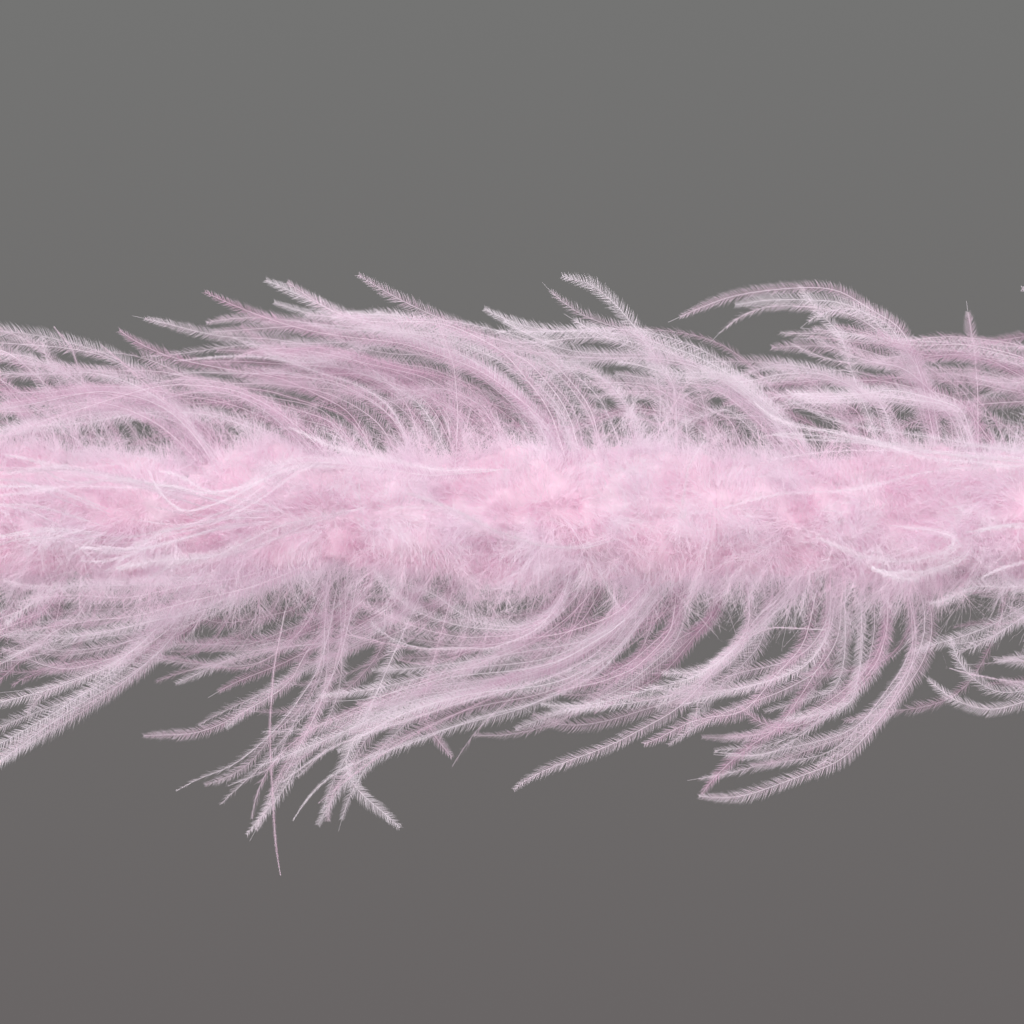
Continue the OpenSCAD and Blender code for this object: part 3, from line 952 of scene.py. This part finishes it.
def add_flues(bundle, paths, pale, rng, fullness, facing, shaft=SHAFT_D, roll=1.0):
    """Flues along the paths: a fine shaft and a row of barbules down each side. Fullness
    is the barbules' length, facing is where the flat side looks, roll how much it turns."""
    n = len(paths)
    s = np.linspace(0, 1, FLUE_POINTS)
    runs = np.linalg.norm(np.diff(paths, axis=1), axis=2).sum(1)
    tangents = headings(paths)
    turned = rng.normal(0, 0.45 * roll, n)[:, None] + rng.normal(0, 0.5 * roll, n)[:, None] * s
    flat = square_to(facing[:, None], tangents)
    across = np.cross(tangents, flat)
    c, w = np.cos(turned)[..., None], np.sin(turned)[..., None]
    flat, across = flat * c + across * w, across * c - flat * w
    phase = rng.uniform(0, 2 * np.pi, n)
    width = shaft * (1 - 0.64 * s)[None] * rng.uniform(0.8, 1.15, (n, 1))
    v = np.clip(pale[:, None] + 0.25 * (s - 0.5), 0.02, 0.98)
    # Painted highlight: the shafts are drawn 0.4 paler in V than their flue, on the near-white root colour
    # at U 0.02.
    shaft_highlight = np.clip(v + 0.4, 0, 0.98)
    ribbons(bundle, paths, across, width, 0.02 + 0 * s, shaft_highlight)
    ribbons(bundle, paths, flat, width * 0.8, 0.02 + 0 * s, shaft_highlight)
    for i in range(n):
        if fullness[i] > 0:
            axes = tangents[i], across[i], flat[i]
            longest = BARBULE_LENGTH * fullness[i]
            add_barbules(bundle, paths[i], axes, runs[i], longest, v[i], phase[i], rng)


def make_tuft(index, node, tie):
    """One tuft: its bunches, the flues across the down, and those behind."""
    rng = np.random.default_rng(500 + index)
    tie_x = middle(tie)[0]
    bundle = Bundle()
    for bunch in BUNCHES[index]:
        paths, pale = guided(tie_x, bunch, rng, True)
        n = len(pale)
        worn = rng.random(n) < WORN * (n > 2)
        fullness = np.where(worn, rng.choice([0, 0.3], n), rng.uniform(0.85, 1.08, n))
        if n == 1 and bunch[4] <= NEARLY_BARE:
            fullness[:] = 0.22
        facing = unit(FRONT + rng.normal(0, 0.35 if n > 1 else 0.1, (n, 3)))
        add_flues(bundle, paths, pale, rng, fullness, facing, roll=1 if n > 1 else 0.3)
    for bunch in CROSSING.get(index, []):
        paths, pale = guided(tie_x, bunch, rng, False)
        n = len(pale)
        alone = n <= 2 and bunch[4] == 1
        fullness = rng.uniform(0.15, 0.5, n) * (FULLER if alone else 1)
        facing = np.repeat(FRONT[None], n, 0)
        add_flues(bundle, paths, pale, rng, fullness, facing, CROSSING_SHAFT_D)
    paths, pale = radiating(tie_x, BEHIND_PER_TUFT, rng)
    n = len(pale)
    away = unit(paths[:, 10] * [0, 1, 1])     # out from the core, a third of the way along
    facing = unit(away + rng.normal(0, 0.7, (n, 3)))
    add_flues(bundle, paths, pale, rng, rng.uniform(0.75, 1.0, n), facing)
    piece = bundle.build(node.replace("ostrich_tuft", "ostrich_flues"), FLUE)
    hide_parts(node)


# ---- stage ----

VIEW_CENTRE = np.array([-30.0, 0.0, 1.5])
VIEW_WIDTH = 450.0
CAMERA_BACK = 1600.0


def make_camera():
    """A long lens level with the boa, square to it, as the photograph was taken."""
    data = bpy.data.cameras.new("camera")
    data.sensor_width = 36
    data.lens = data.sensor_width * CAMERA_BACK / VIEW_WIDTH
    data.clip_end = 50
    camera = bpy.data.objects.new("camera", data)
    camera.location = (VIEW_CENTRE + FRONT * CAMERA_BACK) * MM
    camera.rotation_euler = (math.radians(90), 0, 0)
    bpy.context.scene.collection.objects.link(camera)
    bpy.context.scene.camera = camera


def area_light(name, place, size, power, colour):
    """A soft light at that place, in metres, aimed at the boa's middle."""
    data = bpy.data.lights.new(name, "AREA")
    data.shape = "RECTANGLE"
    data.size, data.size_y = size
    data.energy = power
    data.color = colour
    light = bpy.data.objects.new(name, data)
    light.location = place
    aim = -np.array(place)
    light.rotation_euler = (
        math.atan2(math.hypot(aim[0], aim[1]), -aim[2]),
        0,
        math.atan2(-aim[0], aim[1]),
    )
    bpy.context.scene.collection.objects.link(light)


def make_lights():
    area_light("key", (-0.6, -1.6, 1.3), (1.6, 1.2), 44, (1.0, 0.99, 0.99))
    area_light("fill", (0.6, -1.9, 0.3), (1.5, 1.5), 17, (0.98, 0.98, 1.0))
    area_light("back", (0.2, 1.4, 1.2), (1.8, 1.0), 12, (1.0, 1.0, 1.0))


def make_world():
    """A grey studio wall with painted shade that darkens it a little downwards, and soft light from all
    round.
    """
    world = bpy.data.worlds.new("studio")
    bpy.context.scene.world = world
    world.use_nodes = True
    nodes, links = world.node_tree.nodes, world.node_tree.links
    nodes.clear()
    place = add_node(nodes, "TexCoord")
    split = add_node(nodes, "SeparateXYZ")
    links.new(place.outputs["Generated"], split.inputs[0])
    height = add_node(nodes, "MapRange", {"From Min": -0.14, "From Max": 0.14})
    links.new(split.outputs["Z"], height.inputs["Value"])
    # Painted shade: the wall that the camera sees goes from the darker colour below to the lighter one
    # above.
    wall = add_node(nodes, "Mix")
    wall.data_type = "RGBA"
    wall.inputs["A"].default_value = srgb(105, 101, 101)
    wall.inputs["B"].default_value = srgb(116, 116, 115)
    links.new(height.outputs["Result"], wall.inputs["Factor"])
    seen = add_node(nodes, "Background")
    links.new(wall.outputs["Result"], seen.inputs["Color"])
    lit = add_node(nodes, "Background", {"Color": (0.95, 0.93, 0.95, 1), "Strength": 0.38})
    path = add_node(nodes, "LightPath")
    mix = add_node(nodes, "MixShader")
    links.new(path.outputs["Is Camera Ray"], mix.inputs["Fac"])
    links.new(lit.outputs[0], mix.inputs[1])
    links.new(seen.outputs[0], mix.inputs[2])
    out = add_node(nodes, "OutputWorld")
    links.new(mix.outputs[0], out.inputs["Surface"])


def make_floor():
    """A pale round floor, well below the boa and outside the front view."""
    mesh = bpy.data.meshes.new("floor")
    corners, radius, height = 64, 1.6, -0.6
    angle = 2 * np.pi * np.arange(corners) / corners
    mesh.from_pydata([(radius * math.cos(a), radius * math.sin(a), height) for a in angle],
                     [], [tuple(range(corners))])
    material, nodes, links = new_material("floor_paint")
    paint = {"Base Color": srgb(205, 203, 202), "Roughness": 0.8}
    to_surface(nodes, links, add_node(nodes, "BsdfPrincipled", paint))
    mesh.materials.append(material)
    floor = bpy.data.objects.new("floor", mesh)
    bpy.context.scene.collection.objects.link(floor)


# ---- the whole boa ----

make_camera()
make_lights()
make_world()
make_floor()
bpy.context.scene.view_settings.view_transform = "Standard"
bpy.context.scene.cycles.diffuse_bounces = 8
bpy.context.scene.cycles.use_denoising = True

knots = {side: make_knot(side) for side in ("left", "right")}
for side in ("left", "right"):
    make_whipping(side)
    make_loop(side)
for ply, route in make_plies():
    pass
make_thread()
for tie in TIES:
    make_tie(tie)
down_ends = (box_mm(SECTIONS[0])[0][0], box_mm(SECTIONS[-1])[1][0])
for number, section in enumerate(SECTIONS, 1):
    make_down(number, section, down_ends)
for number, (tuft, tie) in enumerate(zip(TUFTS, TIES), 1):
    make_tuft(number, tuft, tie)
